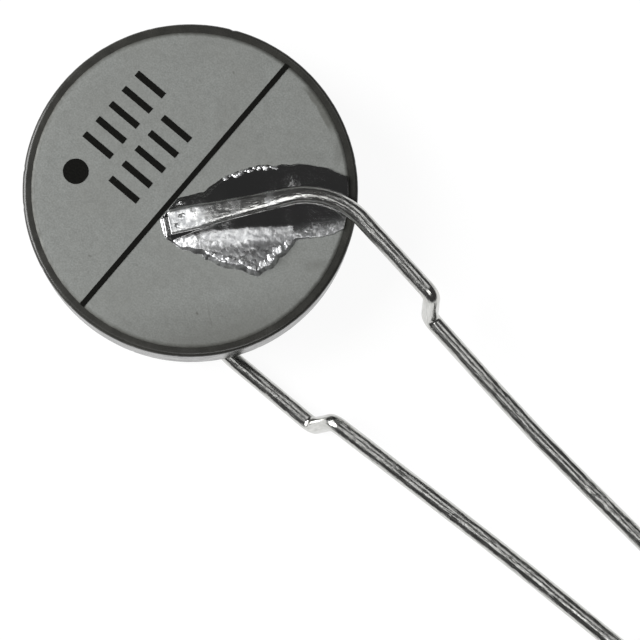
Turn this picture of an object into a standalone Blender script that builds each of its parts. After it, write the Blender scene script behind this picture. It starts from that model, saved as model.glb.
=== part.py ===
"""A leaded disc thermistor: a ceramic disc silvered on both faces, with a tinned wire soldered to each.

The part lies on its back lead. The leads point along +X, the disc's faces look up and down,
and the origin is at the bottom centre of the whole part. Every length is in metres.
"""

from math import ceil, cos, pi, radians, sin, tan

import bmesh
import bpy
from mathutils import Matrix, Vector

# Ceramic disc and the silver layer on each face
DISC_DIAMETER = 0.0117
DISC_THICKNESS = 0.0026
DISC_EDGE_RADIUS = 0.00014
BARE_MARGIN = 0.00031
SILVER_THICKNESS = 0.00003

# Lead wire and its pinched tip
WIRE_DIAMETER = 0.0006
TIP_WIDTH = 0.00085
TIP_THICKNESS = 0.0003
TIP_FLAT_LENGTH = 0.001
TIP_TAPER_LENGTH = 0.0037
TIP_TAPER_POWER = 0.6

# Route of a lead: soldered run, bend near the rim, leg, kink down to the middle plane, slightly bowed end
LEAD_PITCH = 0.005
SOLDERED_RUN = 0.0058
SOLDERED_RUN_HEADING = 55.2
BEND_FROM_RIM = 0.00226
BEND_RADIUS = 0.0027
KINK_FROM_RIM = 0.00327
KINK_RUN = 0.00044
KINK_RADIUS = 0.00042
BOW_RADIUS = 0.08
LEAD_LENGTH = 0.0205

# What differs between the hand-bent leads: jog at the kink, and toe-in of the leg and of the end before
# and past its bow
FRONT_KINK_JOG = 0.00045
FRONT_LEG_TOE_IN = 5.0
FRONT_END_TOE_IN = 5.5
FRONT_BOW_PAST_KINK = 0.0055
FRONT_LATE_TOE_IN = 2.3
BACK_KINK_JOG = 0.0005
BACK_LEG_TOE_IN = 2.8
BACK_END_TOE_IN = 5.0
BACK_BOW_PAST_KINK = 0.0079
BACK_LATE_TOE_IN = 3.4

# Solder: how far it spreads on each side of the run, how high it climbs and where its inner shoulder ends,
# at even steps from the tip
SOLDER_UNDER_WIRE = 0.00006
SOLDER_BEFORE_TIP = 0.0003
SOLDER_PAST_BEND = 0.0006
SOLDER_OUTER_SPREAD = (0.00022, 0.0008, 0.00095, 0.00128, 0.00132, 0.00112, 0.00086, 0.00005)
SOLDER_INNER_SPREAD = (0.0002, 0.0012, 0.00195, 0.00242, 0.00205, 0.00145, 0.0016, 0.00145)
SOLDER_SHOULDER = (0.00035, 0.00055, 0.00062, 0.00075, 0.00089, 0.001, 0.0011, 0.0012)
SOLDER_CREST = (0.00016, 0.00034, 0.00038, 0.0004, 0.00037, 0.00032, 0.00026, 0.0002)
SOLDER_EDGE_HEIGHT = 0.00005
SOLDER_CLEARANCE = 0.00001

# Profile of the solder's two sides: width of the inner slope and of the blunt rim, heights as shares of the crest
SOLDER_SLOPE_WIDTH = 0.00045
SOLDER_RIM_WIDTH = 0.00014
SOLDER_SHOULDER_SHARE = 0.94
SOLDER_APRON_SHARES = (0.6, 0.46)
SOLDER_OUTER_POWER = 1.2

# Printed ink on the front face: a line beside the solder, and two rows of plain bars with a dot
INK_THICKNESS = 0.000015
LINE_WIDTH = 0.00019
LINE_CLEARANCE = 0.00002
LINE_SLANT = 2.5
BAR_WIDTH = 0.00024
BAR_HEIGHT = 0.00125
BAR_SPACING = 0.0007
BARS_IN_ROW = 5
INNER_ROW_FROM_LINE = 0.0015
OUTER_ROW_FROM_LINE = 0.0032
INNER_ROW_START = -0.0015
OUTER_ROW_START = -0.0009
DOT_DIAMETER = 0.0009
DOT_BEFORE_ROW = 0.0012

# Fineness of the facets
DISC_FACETS = 96
WIRE_FACETS = 16
WIRE_STEP = 0.0009
BEND_STEP = radians(11)
SOLDER_STEPS_ALONG = 26
SOLDER_OUTER_STEPS = 5
SMOOTH_ANGLE = radians(40)

# Sizes that follow from the ones above
DISC_RADIUS = DISC_DIAMETER / 2
SILVER_RADIUS = DISC_RADIUS - BARE_MARGIN
FACE_HEIGHT = DISC_THICKNESS / 2 + SILVER_THICKNESS
WIRE_AXIS_HEIGHT = FACE_HEIGHT + SOLDER_UNDER_WIRE + WIRE_DIAMETER / 2
KINK_X = DISC_RADIUS + KINK_FROM_RIM
LEAD_END_X = KINK_X + LEAD_LENGTH
RUN_DIRECTION = Vector((cos(radians(SOLDERED_RUN_HEADING)), sin(radians(SOLDERED_RUN_HEADING)), 0))
RUN_OUTWARD = Vector((-RUN_DIRECTION.y, RUN_DIRECTION.x, 0))
HALF_TURN = Matrix.Rotation(pi, 4, "X")
FRONT_LEAD = {
    "jog": FRONT_KINK_JOG,
    "leg_toe_in": FRONT_LEG_TOE_IN,
    "end_toe_in": FRONT_END_TOE_IN,
    "bow_past_kink": FRONT_BOW_PAST_KINK,
    "late_toe_in": FRONT_LATE_TOE_IN,
}
BACK_LEAD = {
    "jog": BACK_KINK_JOG,
    "leg_toe_in": BACK_LEG_TOE_IN,
    "end_toe_in": BACK_END_TOE_IN,
    "bow_past_kink": BACK_BOW_PAST_KINK,
    "late_toe_in": BACK_LATE_TOE_IN,
}

# From the disc's own centre to the part's bottom centre
PART_PLACE = Matrix.Translation(((DISC_RADIUS - LEAD_END_X) / 2, 0, WIRE_AXIS_HEIGHT + WIRE_DIAMETER / 2))


def clear_scene():
    """Remove whatever the scene holds."""
    for item in list(bpy.data.objects):
        bpy.data.objects.remove(item, do_unlink=True)


def make_material(name, colour, roughness, metallic):
    """A plain surface finish."""
    material = bpy.data.materials.new(name)
    material.use_nodes = True
    shader = material.node_tree.nodes["Principled BSDF"]
    shader.inputs["Base Color"].default_value = (*colour, 1)
    shader.inputs["Roughness"].default_value = roughness
    shader.inputs["Metallic"].default_value = metallic
    material.diffuse_color = (*colour, 1)
    return material


def add_piece(name, bm, material, place=PART_PLACE):
    """Turn a finished bmesh into a named object with outward faces and smooth round sides."""
    bmesh.ops.recalc_face_normals(bm, faces=bm.faces)
    mesh = bpy.data.meshes.new(name)
    bm.to_mesh(mesh)
    bm.free()
    mesh.shade_smooth()
    mesh.set_sharp_from_angle(angle=SMOOTH_ANGLE)
    mesh.materials.append(material)
    piece = bpy.data.objects.new(name, mesh)
    piece.matrix_world = place
    bpy.context.collection.objects.link(piece)
    return piece


def add_cutter(name, bm, place):
    """A helper body that only shapes its neighbours."""
    cutter = add_piece(name, bm, make_material(name, (0.8, 0.2, 0.2), 0.5, 0), place)
    cutter.hide_render = True
    cutter.display_type = "WIRE"
    return cutter


def cut(piece, cutter, operation):
    """Shape a piece with a cutter."""
    modifier = piece.modifiers.new(f"{operation.lower()} {cutter.name}", "BOOLEAN")
    modifier.operation = operation
    modifier.solver = "EXACT"
    modifier.object = cutter


def cylinder(radius, bottom, top, facets=DISC_FACETS):
    """A bmesh cylinder round the disc's axis, between two heights."""
    bm = bmesh.new()
    place = Matrix.Translation((0, 0, (bottom + top) / 2))
    bmesh.ops.create_cone(
        bm, cap_ends=True, segments=facets, radius1=radius, radius2=radius, depth=top - bottom, matrix=place
    )
    return bm


def filleted_path(corners, radii):
    """Points along straight runs joined by round bends, one radius for each inner corner."""
    points = [corners[0]]
    for before, corner, after, radius in zip(corners, corners[1:], corners[2:], radii):
        incoming = (corner - before).normalized()
        outgoing = (after - corner).normalized()
        turn = incoming.angle(outgoing)
        axis = incoming.cross(outgoing).normalized()
        start = corner - incoming * radius * tan(turn / 2)
        centre = start + axis.cross(incoming) * radius
        steps = ceil(turn / BEND_STEP)
        for step in range(steps + 1):
            swing = Matrix.Rotation(turn * step / steps, 3, axis)
            points.append(centre + swing @ (start - centre))
    points.append(corners[-1])
    return points


def with_even_steps(points, longest):
    """The same route with extra points, so that no stretch is longer than one step."""
    route = [points[0]]
    for here, there in zip(points, points[1:]):
        pieces = max(1, ceil((there - here).length / longest))
        for step in range(1, pieces + 1):
            route.append(here.lerp(there, step / pieces))
    return route


def run_corner(lead):
    """Where the soldered run and the leg would meet if the bend were sharp."""
    x = DISC_RADIUS - BEND_FROM_RIM
    leg_run = KINK_X - KINK_RUN - x
    return Vector((x, LEAD_PITCH / 2 + lead["jog"] + leg_run * tan(radians(lead["leg_toe_in"])), 0))


def lead_route(lead):
    """Centre line of a front lead, from its pinched tip on the face to its cut end."""
    height = Vector((0, 0, WIRE_AXIS_HEIGHT))
    bend = run_corner(lead) + height
    tip = bend - RUN_DIRECTION * SOLDERED_RUN
    kink_top = Vector((KINK_X - KINK_RUN, LEAD_PITCH / 2 + lead["jog"], 0)) + height
    kink_bottom = Vector((KINK_X, LEAD_PITCH / 2, 0))
    bow = kink_bottom + Vector((1, -tan(radians(lead["end_toe_in"])), 0)) * lead["bow_past_kink"]
    past_bow = LEAD_LENGTH - lead["bow_past_kink"]
    end = bow + Vector((1, -tan(radians(lead["late_toe_in"])), 0)) * past_bow
    corners = [tip, bend, kink_top, kink_bottom, bow, end]
    route = filleted_path(corners, [BEND_RADIUS, KINK_RADIUS, KINK_RADIUS, BOW_RADIUS])
    return with_even_steps(route, WIRE_STEP)


def wire_section(distance, clearance):
    """Width and thickness of the wire at a distance from its tip: pinched flat, then easing to round."""
    ease = min(1, max(0, (distance - TIP_FLAT_LENGTH) / TIP_TAPER_LENGTH)) ** TIP_TAPER_POWER
    width = TIP_WIDTH + (WIRE_DIAMETER - TIP_WIDTH) * ease
    thickness = TIP_THICKNESS + (WIRE_DIAMETER - TIP_THICKNESS) * ease
    return width + 2 * clearance, thickness + 2 * clearance


def sweep_wire(route, clearance=0):
    """Loft rings along the route, each ring a circle pressed flat between two planes."""
    bm = bmesh.new()
    rings = []
    distance = 0
    last = len(route) - 1
    upward = Vector((0, 0, 1))
    heading = (route[1] - route[0]).normalized()
    for index, point in enumerate(route):
        ahead = (route[min(index + 1, last)] - route[max(index - 1, 0)]).normalized()
        upward = heading.rotation_difference(ahead) @ upward
        heading = ahead
        distance += (point - route[max(index - 1, 0)]).length
        sideways = upward.cross(heading).normalized()
        width, thickness = wire_section(distance, clearance)
        round_radius = WIRE_DIAMETER / 2 + clearance
        ring = []
        for facet in range(WIRE_FACETS):
            angle = 2 * pi * facet / WIRE_FACETS
            rise = min(thickness / 2, max(-thickness / 2, round_radius * sin(angle)))
            ring.append(point + sideways * (width / 2 * cos(angle)) + upward * rise)
        rings.append(ring)
    square_cut = [corner + heading * ((LEAD_END_X - corner.x) / heading.x) for corner in rings[-1]]
    rings[-1] = square_cut
    skin = [[bm.verts.new(corner) for corner in ring] for ring in rings]
    for ring, following in zip(skin, skin[1:]):
        for facet in range(WIRE_FACETS):
            beside = (facet + 1) % WIRE_FACETS
            bm.faces.new((ring[facet], ring[beside], following[beside], following[facet]))
    bm.faces.new(reversed(skin[0]))
    bm.faces.new(skin[-1])
    return bm


def smooth_value(values, share):
    """A smooth curve through evenly spaced values, read at a share of the way along them."""
    place = share * (len(values) - 1)
    index = min(int(place), len(values) - 2)
    part = place - index
    before = values[max(index - 1, 0)]
    start = values[index]
    end = values[index + 1]
    after = values[min(index + 2, len(values) - 1)]
    bend = 2 * before - 5 * start + 4 * end - after
    twist = 3 * (start - end) + after - before
    return start + 0.5 * part * (end - before + part * (bend + part * twist))


def solder_station(corner, share):
    """Middle, outer edge and inner edge of the solder, at a share of the way along it."""
    length = SOLDER_BEFORE_TIP + SOLDERED_RUN + SOLDER_PAST_BEND
    middle = corner + RUN_DIRECTION * (share * length - SOLDER_BEFORE_TIP - SOLDERED_RUN)
    outer = smooth_value(SOLDER_OUTER_SPREAD, share)
    inner = smooth_value(SOLDER_INNER_SPREAD, share)
    return middle, outer, inner


def solder_section(share, outer, inner):
    """Distance from the wire's centre line and height across the solder, from its inner edge to its outer one.

    On the inner side a nearly level shoulder, a slope, a gentle apron and a blunt rim follow each other.
    """
    crest = smooth_value(SOLDER_CREST, share)
    shoulder = smooth_value(SOLDER_SHOULDER, share)
    squeeze = min(1, inner / (shoulder + SOLDER_SLOPE_WIDTH + 2 * SOLDER_RIM_WIDTH))
    shoulder_end = shoulder * squeeze
    slope_end = shoulder_end + SOLDER_SLOPE_WIDTH * squeeze
    apron_end = inner - SOLDER_RIM_WIDTH * squeeze
    apron_high, apron_low = SOLDER_APRON_SHARES
    section = [
        (-inner, SOLDER_EDGE_HEIGHT),
        (-apron_end, max(SOLDER_EDGE_HEIGHT, crest * apron_low)),
        (-slope_end, max(SOLDER_EDGE_HEIGHT, crest * apron_high)),
        (-shoulder_end, crest * SOLDER_SHOULDER_SHARE),
        (-shoulder_end / 2, crest),
        (0, crest),
    ]
    for step in range(1, SOLDER_OUTER_STEPS + 1):
        side = step / SOLDER_OUTER_STEPS
        climb = (1 - side) ** SOLDER_OUTER_POWER
        section.append((side * outer, SOLDER_EDGE_HEIGHT + (crest - SOLDER_EDGE_HEIGHT) * climb))
    return section


def solder_mound(corner):
    """A puddle with a blunt edge that climbs to the wire from both sides, flat underneath."""
    bm = bmesh.new()
    rows = []
    for along in range(SOLDER_STEPS_ALONG + 1):
        share = along / SOLDER_STEPS_ALONG
        middle, outer, inner = solder_station(corner, share)
        row = []
        for distance, height in solder_section(share, outer, inner):
            foot = middle + RUN_OUTWARD * distance
            top = bm.verts.new((foot.x, foot.y, FACE_HEIGHT + height))
            bottom = bm.verts.new((foot.x, foot.y, FACE_HEIGHT))
            row.append((top, bottom))
        rows.append(row)
    for row, following in zip(rows, rows[1:]):
        for near, far, far_next, near_next in zip(row, row[1:], following[1:], following):
            bm.faces.new((near[0], near_next[0], far_next[0], far[0]))
            bm.faces.new((near[1], far[1], far_next[1], near_next[1]))
        for edge, edge_next in ((row[0], following[0]), (row[-1], following[-1])):
            bm.faces.new((edge[0], edge[1], edge_next[1], edge_next[0]))
    for row in (rows[0], rows[-1]):
        for near, far in zip(row, row[1:]):
            bm.faces.new((near[0], far[0], far[1], near[1]))
    return bm


def make_disc(ceramic):
    """The sintered disc, with its rims rounded."""
    disc = add_piece("ceramic_disc", cylinder(DISC_RADIUS, -DISC_THICKNESS / 2, DISC_THICKNESS / 2), ceramic)
    bevel = disc.modifiers.new("rounded rims", "BEVEL")
    bevel.width = DISC_EDGE_RADIUS
    bevel.segments = 3
    bevel.limit_method = "ANGLE"


def make_side(side, place, lead, finishes):
    """Silver, lead and solder of one face, modelled on the front and turned to its place."""
    silver = cylinder(SILVER_RADIUS, DISC_THICKNESS / 2, FACE_HEIGHT)
    add_piece(f"{side}_electrode", silver, finishes["silver"], place)
    route = lead_route(lead)
    add_piece(f"{side}_lead", sweep_wire(route), finishes["wire"], place)
    channel = add_cutter(f"{side}_wire_channel", sweep_wire(route, SOLDER_CLEARANCE), place)
    above_crest = FACE_HEIGHT + 2 * max(SOLDER_CREST)
    wetted = add_cutter(f"{side}_wetted_area", cylinder(SILVER_RADIUS, -FACE_HEIGHT, above_crest), place)
    solder = add_piece(f"{side}_solder", solder_mound(run_corner(lead)), finishes["solder"], place)
    cut(solder, wetted, "INTERSECT")
    cut(solder, channel, "DIFFERENCE")
    return wetted


def print_frame():
    """Origin on the printed line, first axis along it, second axis away from the solder."""
    along = Vector((-sin(radians(LINE_SLANT)), cos(radians(LINE_SLANT)), 0))
    away = Vector((-along.y, along.x, 0))
    corner = run_corner(FRONT_LEAD)
    reach = 0
    for step in range(SOLDER_STEPS_ALONG + 1):
        middle, outer, inner = solder_station(corner, step / SOLDER_STEPS_ALONG)
        edges = (middle + RUN_OUTWARD * outer, middle - RUN_OUTWARD * inner)
        reach = max(reach, *(edge.dot(away) for edge in edges))
    origin = away * (reach + LINE_CLEARANCE + LINE_WIDTH / 2)
    return origin, along, away


def ink_strip(start, end, width):
    """A thin straight stroke of ink with square ends."""
    bm = bmesh.new()
    beside = Vector((start.y - end.y, end.x - start.x, 0)).normalized() * (width / 2)
    floor = Vector((0, 0, FACE_HEIGHT))
    outline = [start - beside, end - beside, end + beside, start + beside]
    base = bm.faces.new([bm.verts.new(corner + floor) for corner in outline])
    raised = bmesh.ops.extrude_face_region(bm, geom=[base])
    lifted = [item for item in raised["geom"] if isinstance(item, bmesh.types.BMVert)]
    bmesh.ops.translate(bm, verts=lifted, vec=(0, 0, INK_THICKNESS))
    return bm


def make_print(ink, silvered_area):
    """The line across the face, and two rows of plain bars with a dot before the outer row."""
    origin, along, away = print_frame()
    line = ink_strip(origin - along * DISC_RADIUS, origin + along * DISC_RADIUS, LINE_WIDTH)
    cut(add_piece("print_line", line, ink), silvered_area, "INTERSECT")
    rows = (
        ("inner", INNER_ROW_FROM_LINE, INNER_ROW_START),
        ("outer", OUTER_ROW_FROM_LINE, OUTER_ROW_START),
    )
    for row, from_line, row_start in rows:
        for number in range(BARS_IN_ROW):
            middle = origin + away * from_line + along * (row_start + number * BAR_SPACING)
            reach = away * (BAR_HEIGHT / 2)
            bar = ink_strip(middle - reach, middle + reach, BAR_WIDTH)
            add_piece(f"print_bar_{row}_{number + 1}", bar, ink)
    dot = cylinder(DOT_DIAMETER / 2, FACE_HEIGHT, FACE_HEIGHT + INK_THICKNESS, 32)
    dot_middle = origin + away * OUTER_ROW_FROM_LINE + along * (OUTER_ROW_START - DOT_BEFORE_ROW)
    add_piece("print_dot", dot, ink, PART_PLACE @ Matrix.Translation(dot_middle))


def build():
    """Model the whole part."""
    clear_scene()
    finishes = {
        "silver": make_material("fired silver", (0.25, 0.255, 0.245), 0.5, 0.4),
        "wire": make_material("tinned wire", (0.62, 0.62, 0.6), 0.2, 1),
        "solder": make_material("solder", (0.5, 0.5, 0.5), 0.3, 1),
    }
    make_disc(make_material("ceramic", (0.045, 0.045, 0.035), 0.5, 0))
    front_area = make_side("front", PART_PLACE, FRONT_LEAD, finishes)
    make_side("back", PART_PLACE @ HALF_TURN, BACK_LEAD, finishes)
    make_print(make_material("black ink", (0.012, 0.012, 0.01), 0.45, 0), front_area)


build()
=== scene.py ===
"""Looks of the leaded disc thermistor: fine surfaces and finishes, floor, light and camera.

Every length is in metres. The frame's +X runs along the leads and +Z is up out of the printed face.
A side's own frame has its origin in the middle of the disc, and the back side is the front one turned
half round the leads' axis. Places on the solder are given along the soldered run, from the sharp corner
where it would meet the leg, and across it, from the wire's axis.
"""

from math import atan2, ceil, cos, hypot, pi, radians, sin, tan
from random import Random

import bmesh
import bpy
import numpy as np
from mathutils import Matrix, Vector, kdtree, noise


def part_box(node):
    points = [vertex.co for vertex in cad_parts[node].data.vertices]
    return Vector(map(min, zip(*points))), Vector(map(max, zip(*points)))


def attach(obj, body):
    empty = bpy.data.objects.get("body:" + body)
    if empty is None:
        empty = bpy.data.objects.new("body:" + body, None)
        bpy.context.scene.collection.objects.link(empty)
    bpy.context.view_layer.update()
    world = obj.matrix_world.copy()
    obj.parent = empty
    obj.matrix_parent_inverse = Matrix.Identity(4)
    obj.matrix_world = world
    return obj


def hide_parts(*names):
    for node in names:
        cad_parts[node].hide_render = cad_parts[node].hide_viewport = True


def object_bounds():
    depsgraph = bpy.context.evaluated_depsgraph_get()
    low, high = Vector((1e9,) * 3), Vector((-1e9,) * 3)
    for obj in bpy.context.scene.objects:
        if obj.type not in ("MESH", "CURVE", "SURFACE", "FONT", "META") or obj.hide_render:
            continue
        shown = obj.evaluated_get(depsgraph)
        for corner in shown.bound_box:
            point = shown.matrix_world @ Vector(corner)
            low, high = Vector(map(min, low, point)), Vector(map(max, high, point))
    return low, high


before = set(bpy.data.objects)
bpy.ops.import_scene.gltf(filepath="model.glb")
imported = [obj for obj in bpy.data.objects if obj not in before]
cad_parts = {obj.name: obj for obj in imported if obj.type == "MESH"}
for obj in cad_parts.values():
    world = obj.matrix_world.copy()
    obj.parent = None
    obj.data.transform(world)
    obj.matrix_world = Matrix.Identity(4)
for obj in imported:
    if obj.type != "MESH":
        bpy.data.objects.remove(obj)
CAD_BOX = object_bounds()

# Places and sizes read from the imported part
DISC_LOW, DISC_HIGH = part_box("ceramic_disc")
SILVER_LOW, SILVER_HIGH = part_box("front_electrode")
LEAD_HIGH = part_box("front_lead")[1]
DISC_MIDDLE = (DISC_LOW + DISC_HIGH) / 2
DISC_RADIUS = (DISC_HIGH.y - DISC_LOW.y) / 2
CERAMIC_TOP = DISC_HIGH.z - DISC_MIDDLE.z
SILVER_RADIUS = (SILVER_HIGH.y - SILVER_LOW.y) / 2
FACE_HEIGHT = SILVER_HIGH.z - DISC_MIDDLE.z
LEAD_END_X = LEAD_HIGH.x - DISC_MIDDLE.x
FRONT_PLACE = Matrix.Translation(DISC_MIDDLE)
BACK_PLACE = FRONT_PLACE @ Matrix.Rotation(pi, 4, "X")

# Lead wire, as in the part's source
WIRE_DIAMETER = 0.0006
WIRE_RADIUS = WIRE_DIAMETER / 2
WIRE_AXIS_HEIGHT = LEAD_HIGH.z - DISC_MIDDLE.z - WIRE_RADIUS
TIP_WIDTH = 0.00085
TIP_THICKNESS = 0.0003
TIP_FLAT_LENGTH = 0.001
TIP_TAPER_LENGTH = 0.0037
TIP_TAPER_POWER = 0.6
LEAD_PITCH = 0.005
SOLDERED_RUN = 0.0058
SOLDERED_RUN_HEADING = radians(55.2)
BEND_FROM_RIM = 0.00226
BEND_RADIUS = 0.0027
KINK_FROM_RIM = 0.00327
KINK_RUN = 0.00044
KINK_RADIUS = 0.00042
BOW_RADIUS = 0.08
KINK_X = DISC_RADIUS + KINK_FROM_RIM
LEAD_LENGTH = LEAD_END_X - KINK_X
FRONT_LEAD = {
    "jog": 0.00045,
    "leg_toe_in": radians(5.0),
    "end_toe_in": radians(5.5),
    "bow_past_kink": 0.0055,
    "late_toe_in": radians(2.3),
}
BACK_LEAD = {
    "jog": 0.0005,
    "leg_toe_in": radians(2.8),
    "end_toe_in": radians(5.0),
    "bow_past_kink": 0.0079,
    "late_toe_in": radians(3.4),
}
RUN_DIRECTION = Vector((cos(SOLDERED_RUN_HEADING), sin(SOLDERED_RUN_HEADING), 0))
RUN_OUTWARD = Vector((-RUN_DIRECTION.y, RUN_DIRECTION.x, 0))

# Fineness of the meshes
WIRE_STEP = 0.00006
TIP_FINE_STEP = 0.00003
TIP_FINE_LENGTH = 0.0035
WIRE_BEND_STEP = radians(2)
WIRE_FACETS = 72
ROUND_FACETS = 540
RIM_ARC_STEPS = 8
WALL_STEPS = 24
SOLDER_STEPS_ALONG = 420
SOLDER_STEPS_ACROSS = 170
SOLDER_COLUMNS = SOLDER_STEPS_ALONG + 1
SOLDER_ROWS = SOLDER_STEPS_ACROSS + 1
INK_STEP = 0.00002
SHARP_ANGLE = radians(50)

# Seeds of the uneven shapes
SEEDS = {"front": 5, "back": 4}
SOLDER_SEEDS = {"front": 15, "back": 12}

# Worn rims of the disc, press marks and chips: depths, and waves to a radian round and to a metre up
RIM_RADIUS = 0.00014
PRESS_MARK_DEPTH = 0.0000035
PRESS_MARK_WAVES = (45, 300)
CHIP_DEPTH = 0.00011
CHIP_WAVES = (30, 2500)
CHIP_RARITY = 0.42

# Thin edge of the silver layer: its width, the share of the thickness that it loses, and its waver
SILVER_EDGE_WIDTH = 0.00012
SILVER_EDGE_LOSS = 0.8
SILVER_EDGE_WAVER = 0.000012
SILVER_WAVER_SIZE = 0.05

# Pinched tip of the wire: its twist, worn end, squareness and dents, and its two pits, each by distance
# from the end, place beside the axis and half sizes
TIP_SKEW = radians(16)
SKEW_EASING = (0.0006, 0.0017)
WORN_END_LENGTH = 0.00009
WORN_END_LOSS = 0.07
PRESS_POWER = 8
TIP_DENT_DEPTH = 0.000007
TIP_PIT_DEPTH = 0.00004
TIP_PITS = ((0.00022, -0.0001, 0.00006, 0.00004), (0.00046, 0.00012, 0.00013, 0.00003))

# Uneven coat of the wire: waves to a metre along and across it, shift, and height as a share of its radius
COAT_WAVES = ((1400, 9000, 0, 0.011), (6000, 12000, 3, 0.008))

# Size of the dents in the tin, on the wire and on the solder
DENT_SIZE = 0.00016

# How frosted the top of the wire is, by distance from its tip
WIRE_FROST = (
    (0.00000, 1.0), (0.00110, 0.95), (0.00150, 0.35), (0.00212, 0.2), (0.00222, 0.6), (0.00246, 0.5),
    (0.00254, 0.0), (0.00335, 0.05), (0.00345, 0.7), (0.00370, 0.6), (0.00385, 0.0), (0.00420, 0.0),
)
WIRE_FROST_WANDER = 0.00016

# Outline of the solder: distance along the run and spread to that side, and how ragged it is
OUTER_EDGE = (
    (-0.00610, 0.00025), (-0.00595, 0.00060), (-0.00534, 0.00080), (-0.00441, 0.00083),
    (-0.00413, 0.00097), (-0.00358, 0.00120), (-0.00306, 0.00129), (-0.00231, 0.00133),
    (-0.00159, 0.00117), (-0.00087, 0.00106), (-0.00017, 0.00080), (0.00060, 0.00030),
)
INNER_EDGE = (
    (-0.00610, 0.00030), (-0.00600, 0.00054), (-0.00557, 0.00103), (-0.00499, 0.00130),
    (-0.00485, 0.00152), (-0.00427, 0.00192), (-0.00381, 0.00212), (-0.00323, 0.00244),
    (-0.00264, 0.00228), (-0.00229, 0.00200), (-0.00183, 0.00174), (-0.00162, 0.00154),
    (-0.00043, 0.00160), (0.00060, 0.00141),
)
SOLDER_START = OUTER_EDGE[0][0]
SOLDER_END = OUTER_EDGE[-1][0]
OUTER_RAGGEDNESS = 0.000025
INNER_RAGGEDNESS = 0.00005
RAG_SIZE = 0.00028
RAG_CHANGE_ACROSS = 0.0005
RIM_GAP = 0.00003
LINE_TO_SOLDER = 0.00011

# Height of the solder against the wire, and width of the nearly level shoulder on its inner side
CREST = (
    (-0.00610, 0.00003), (-0.00590, 0.00004), (-0.00565, 0.00008), (-0.00500, 0.00018),
    (-0.00420, 0.00029), (-0.00360, 0.00035), (-0.00310, 0.00035), (-0.00260, 0.00031),
    (-0.00180, 0.00023), (-0.00100, 0.00016), (0.00000, 0.00012), (0.00060, 0.00010),
)
SHOULDER = (
    (-0.00610, 0.00010), (-0.00583, 0.00017), (-0.00481, 0.00019), (-0.00349, 0.00037),
    (-0.00173, 0.00068), (0.00060, 0.00085),
)

# Inner side of the solder past the wire: level shoulder, slope, apron and thin film toward the rim
LEVEL_SLOPE = ((-0.00350, 0.03), (-0.00180, 0.12))
INNER_SLOPE = tan(radians(15))
APRON_SLOPE = tan(radians(4))
APRON_EDGE_HEIGHT = ((-0.00350, 0.00014), (-0.00180, 0.00008))
FILM_START = -0.00172
FILM_BLEND = 0.00012
FILM_HEIGHT = 0.00004
CREASE_BLEND = 0.00002

# Outer side of the solder: how far it falls from the wire, and how it ends
OUTER_ROOM = 0.0009
OUTER_EDGE_HEIGHT = 0.00006
OUTER_FALL_POWER = 1.15

# Blunt edge of the solder, and its low foot and steep collar round the pinched tip
EDGE_SLOPE = ((-0.00120, 0.87), (-0.00050, 4.0))
EDGE_BLEND = 0.00001
TIP_EDGE_SLOPE = tan(radians(28))
TIP_FOOT_HEIGHT = 0.00003
TIP_WALL_SLOPE = 1.5
TIP_FOOT_EASING = (-SOLDERED_RUN - 0.00005, -SOLDERED_RUN + 0.0001)
TIP_COLLAR_HEIGHT = 0.00022
TIP_COLLAR_END = -0.0048
LEAST_HEIGHT = 0.000006

# Dents of the solder where it is smooth, what frost adds to them, and where frost begins, dulls and ends
SMOOTH_DENT_DEPTH = 0.000001
FROSTED_DENT_DEPTH = 0.000011
FROST_WANDER = 0.00004
FROST_EASING = (-0.00008, 0.0001)
DULL_WANDER = 0.00008
DULL_EASING = (0.00034, 0.0007)
FILM_FROST_REACH = 0.00058
FILM_FROST_BLEND = 0.0006
FILM_FROST_EASING = 0.00005
TIP_FROST_EASING = (-SOLDERED_RUN - 0.0001, -SOLDERED_RUN + 0.0001)

# Beads frozen on the inner edge of the solder, and crumbs on its outer edge: stretch as shares of the
# edge, number, radii, way in, distances in and steepness
INNER_BEADS = {
    "stretch": (0.2, 0.64),
    "count": 34,
    "radii": (0.00008, 0.00021),
    "into": RUN_OUTWARD,
    "insets": (0.00006, 0.00032),
    "steepness": 0.17,
}
OUTER_CRUMBS = {
    "stretch": (0.36, 0.64),
    "count": 26,
    "radii": (0.00004, 0.0001),
    "into": -RUN_OUTWARD,
    "insets": (0.0, 0.00015),
    "steepness": 0.4,
}
BEAD_ROUNDNESS = 0.7
BEAD_UNEVENNESS = 0.45
BEAD_EDGE_EASING = 0.00003

# A pit near the inner edge of the solder
PIT_ALONG = -0.00328
PIT_ACROSS = -0.00195
PIT_RADIUS = 0.00008
PIT_DEPTH = 0.0001

# Ink: thickness, uneven bleeding and drawn-in top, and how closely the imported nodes' corners are read
INK_THICKNESS = 0.000015
INK_BLEED = 0.000007
INK_BLEED_SIZE = 0.00009
INK_EDGE_WIDTH = 0.000008
FLATNESS = 0.000001
CORNER_DIGITS = 8

# Shade on one side of the silver: the way there, and where it starts and where it is full
SHADED_SIDE = (0.78, -0.62, 0)
SHADE_START = 0.0038
SHADE_END = 0.0055
SHADE_DARKNESS = 0.5

# A stain beside the edge of the silver
STAIN_MIDDLE = (0.00145, 0.00520)
STAIN_SIZE = (0.00085, 0.00060)
STAIN_RADIUS = 0.00533
STAIN_EDGE_WIDTH = 0.00006
STAIN_DARKNESS = 0.6

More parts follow.
